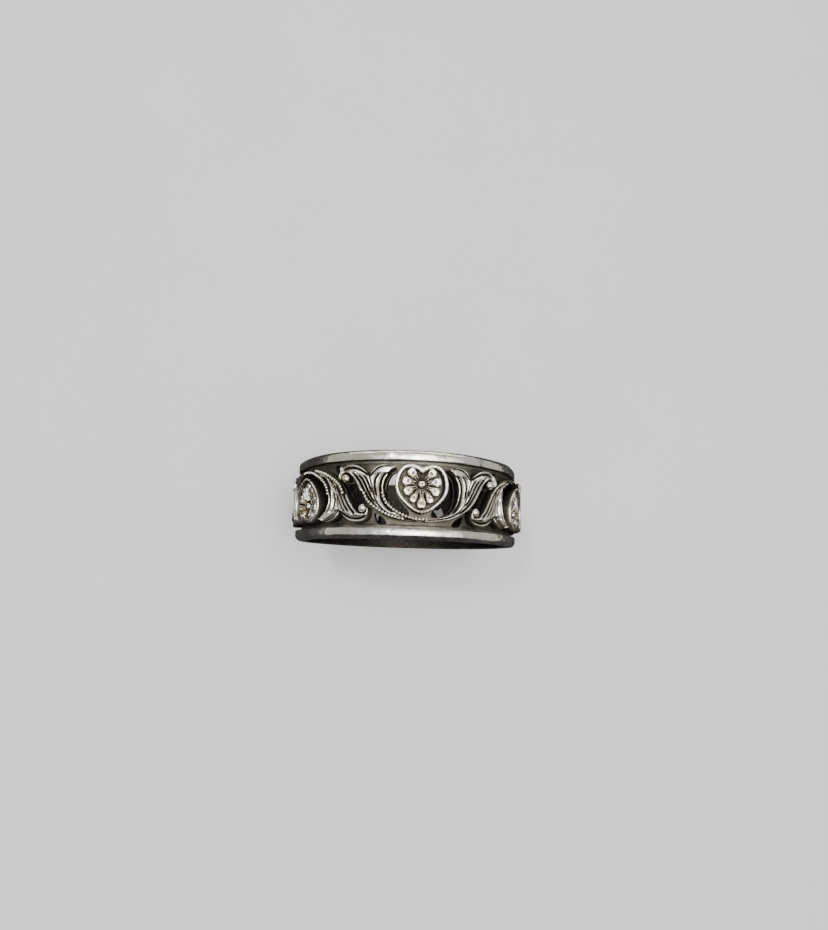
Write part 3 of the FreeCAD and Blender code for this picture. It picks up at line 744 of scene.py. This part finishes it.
def add_leaf(shell, stations, grooves, beading=None):
    """One leaf between its two edges. beading is the edge that milgrain replaces, and how far up."""
    rows, columns = 120, 49
    sides = [smooth_line([station[k] for station in stations], rows) for k in (0, 1)]
    u = np.linspace(0, 1, columns)[None, :]
    place = np.linspace(0, len(stations) - 1, rows)
    width = np.linalg.norm(sides[1] - sides[0], axis=1)[:, None]
    leafy = smoothstep(STEM_WIDTH, LEAF_WIDTH, width)
    from_edge = np.minimum(u, 1 - u) * width
    rounding = np.clip(from_edge / np.minimum(EDGE_ROUND, 0.5 * width), 0, 1)
    height = 0.25 + 0.75 * np.sqrt(1 - (1 - rounding) ** 2)
    carved = np.zeros((rows, columns))
    for path, half_width, depth in grooves:
        middle, there = groove_line(path, place)
        away = np.abs(u - middle[:, None]) * width
        cut = (1 - np.clip(away / (2 * half_width), 0, 1) ** 2) ** 2
        ease = (1 - np.clip(away / RIDGE_ROUND, 0, 1)) ** 1.3
        carved = np.maximum(carved, leafy * there[:, None] * depth * (0.45 * cut + 0.55 * ease))
    height = height * (1 - carved)
    if beading:
        side, last_station = beading
        from_beads = (u if side == 0 else 1 - u) * width
        beaded = 1 - smoothstep(last_station - 0.7, last_station + 0.1, place)[:, None]
        height = height * (1 - 0.85 * beaded * (1 - smoothstep(BEADED_EDGE - 0.1, BEADED_EDGE, from_beads)))
    top = np.zeros((rows, columns, 3))
    for k in (0, 1):
        top[..., k] = sides[0][:, k:k + 1] * (1 - u) + sides[1][:, k:k + 1] * u
    sunk = 0.1 * (1 - smoothstep(0, 4, place))[:, None]
    top[..., 2] = LEAF_FLOOR + (LEAF_TOP - LEAF_FLOOR) * height - sunk
    shell.add_block(top, 0.1 + 0.95 * height ** 1.3, FOOT)


def make_scroll(motif, hand, material):
    """Leaf pair on one stem. The left one carries milgrain."""
    side = "right" if hand > 0 else "left"
    shell = Shell()
    if hand > 0:
        add_leaf(shell, INNER_LEAF, INNER_GROOVES)
        add_leaf(shell, OUTER_LEAF, OUTER_GROOVES)
    else:
        near_heart = [(edge, station[1]) for edge, station in zip(LEFT_HEART_SIDE, INNER_LEAF)]
        add_leaf(shell, near_heart + INNER_LEAF[len(near_heart):], INNER_GROOVES, INNER_BEADED)
        add_leaf(shell, OUTER_LEAF, OUTER_GROOVES, OUTER_BEADED)
    return shell.build(f"leaves_{side}_{motif + 1}", f"scroll_{side}_{motif + 1}",
                       material, motif, hand)


def make_milgrain(motif, material):
    """Two rows of small beads, each on a thin wire."""
    wire_section = [(-0.07, -0.07), (-0.045, -0.01), (0, 0.0), (0.045, -0.01), (0.07, -0.07)]
    shell = Shell()
    for row in (INNER_BEADS, OUTER_BEADS):
        wire = even_line(row, 0.06)
        tangent = np.gradient(wire, axis=0)
        normal = np.stack([-tangent[:, 1], tangent[:, 0]], axis=1)
        normal /= np.linalg.norm(normal, axis=1)[:, None]
        top = np.zeros((len(wire), len(wire_section), 3))
        for j, (out, height) in enumerate(wire_section):
            top[:, j, :2] = wire + out * normal
            top[:, j, 2] = RELIEF_TOP - 0.02 - BEAD_SIZE + height
        shell.add_block(top, 0.35, FOOT)
        for along, across in even_line(row, BEAD_PITCH):
            shell.add_ball(along, across, RELIEF_TOP - 0.01 - BEAD_SIZE, BEAD_SIZE, rings=8, segments=12)
    return shell.build(f"milgrain_{motif + 1}", f"bead_wires_{motif + 1}",
                       material, motif, -1)


def make_curl_ball(motif, hand, material):
    """Ball under a curl, on a short post."""
    side = "right" if hand > 0 else "left"
    post = 0.2
    profile = [(0.01, FOOT, 0.0), (post, FOOT, 0.0), (post, BALL_RADIUS - 0.26, 0.1)]
    for step in range(1, 19):
        polar = math.radians(140 - 138 * step / 18)
        relief_level = 1.0 - float(smoothstep(70, 110, math.degrees(polar)))
        profile.append((BALL_SIZE * math.sin(polar), BALL_RADIUS + BALL_SIZE * math.cos(polar), relief_level))
    shell = Shell()
    shell.add_turned((BALL_ALONG, BALL_ACROSS), profile, 32)
    return shell.build(f"ball_{side}_{motif + 1}", f"curl_ball_{side}_{motif + 1}",
                       material, motif, hand)


# ---------------------------------------------------------------- stage, lights and camera

def make_floor():
    """Pale floor that the band stands on."""
    ground = -(RELIEF_TOP + 0.02) * MM
    mesh = bpy.data.meshes.new("floor")
    reach = 0.6
    mesh.from_pydata([(-reach, -reach, ground), (reach, -reach, ground), (reach, reach, ground),
                      (-reach, reach, ground)], [], [(0, 1, 2, 3)])
    mesh.materials.append(floor_paper())
    floor = bpy.data.objects.new("floor", mesh)
    bpy.context.scene.collection.objects.link(floor)


def make_softbox(name, place, size, radiance):
    """Area light aimed at the band."""
    lamp = bpy.data.lights.new(name, "AREA")
    lamp.shape = "RECTANGLE"
    lamp.size, lamp.size_y = size
    lamp.energy = radiance * math.pi * size[0] * size[1]
    holder = bpy.data.objects.new(name, lamp)
    holder.location = place
    holder.rotation_euler = (-Vector(place)).to_track_quat("-Z", "Y").to_euler()
    bpy.context.scene.collection.objects.link(holder)


def make_card(name, corners):
    """Black studio card that only reflections see."""
    mesh = bpy.data.meshes.new(name)
    mesh.from_pydata(corners, [], [tuple(range(len(corners)))])
    mesh.materials.append(card_black())
    card = bpy.data.objects.new(name, mesh)
    card.visible_camera = False
    card.visible_diffuse = False
    card.visible_shadow = False
    bpy.context.scene.collection.objects.link(card)


def make_lights():
    """Soft lights, an even grey surround, and two black cards that keep the band's edges dark."""
    make_softbox("softbox_overhead", (0.0, -0.03, 0.28), (0.46, 0.24), 1.3)
    make_softbox("softbox_key", (0.036, -0.005, 0.26), (0.13, 0.09), 10)
    make_softbox("softbox_back", (0.0, 0.22, 0.03), (0.3, 0.06), 3.0)
    make_softbox("lamp_spark", (-0.09, 0.05, 0.25), (0.03, 0.03), 60)
    world = bpy.data.worlds.new("studio")
    world.use_nodes = True
    world.node_tree.nodes["Background"].inputs["Color"].default_value = (0.55, 0.55, 0.54, 1)
    world.node_tree.nodes["Background"].inputs["Strength"].default_value = 0.95
    bpy.context.scene.world = world
    low = -(RELIEF_TOP - 0.2) * MM
    under_radius = 0.11
    make_card("card_under", [(under_radius * math.cos(t), under_radius * math.sin(t), low)
                             for t in np.linspace(0, 2 * math.pi, 48, endpoint=False)])
    reach, front, high = 0.12, -0.07, 0.1
    make_card("card_front", [(-reach, front, low), (reach, front, low), (reach, front, high),
                             (-reach, front, high)])


CAMERA_PLACE = Vector((-5.56, -5.39, 50.28)) * MM
CAMERA_AIM = Vector((0.56, 3.96, 0.0)) * MM
CAMERA_ROLL = 1.76
LENS = 21.64


def make_camera():
    """Camera over the first motif, at the photograph's angle."""
    camera = bpy.data.cameras.new("camera")
    camera.lens = LENS
    camera.sensor_width = 36.0
    camera.clip_start = 0.001
    camera.clip_end = 10.0
    holder = bpy.data.objects.new("camera", camera)
    forward = (CAMERA_AIM - CAMERA_PLACE).normalized()
    right = forward.cross(Vector((0, 1, 0))).normalized()
    up = right.cross(forward)
    turn = Matrix((right, up, -forward)).transposed() @ Matrix.Rotation(math.radians(CAMERA_ROLL), 3, "Z")
    holder.matrix_world = Matrix.Translation(CAMERA_PLACE) @ turn.to_4x4()
    bpy.context.scene.collection.objects.link(holder)
    bpy.context.scene.camera = holder


# ---------------------------------------------------------------- the band

make_camera()
make_lights()
make_floor()
rail_silver = oxidised_silver("rail_silver", 0.14, 2.4, 3.5)
relief_silver = oxidised_silver("relief_silver", 0.18, 0.4, 0.5)
ground_silver = oxidised_silver("ground_silver", 0.3, 0.7, 1.0)

make_rail("rail_upper", "edge_rail_upper", 1, rail_silver)
make_rail("rail_lower", "edge_rail_lower", -1, rail_silver)
make_strip(ground_silver)
for motif in range(MOTIFS):
    make_heart_field(motif, ground_silver)
    make_heart_border(motif, relief_silver)
    make_flower(motif, relief_silver)
    make_flower_bead(motif, relief_silver)
    make_milgrain(motif, relief_silver)
    for hand in (-1, 1):
        make_scroll(motif, hand, relief_silver)
        make_curl_ball(motif, hand, relief_silver)

bpy.context.view_layer.update()
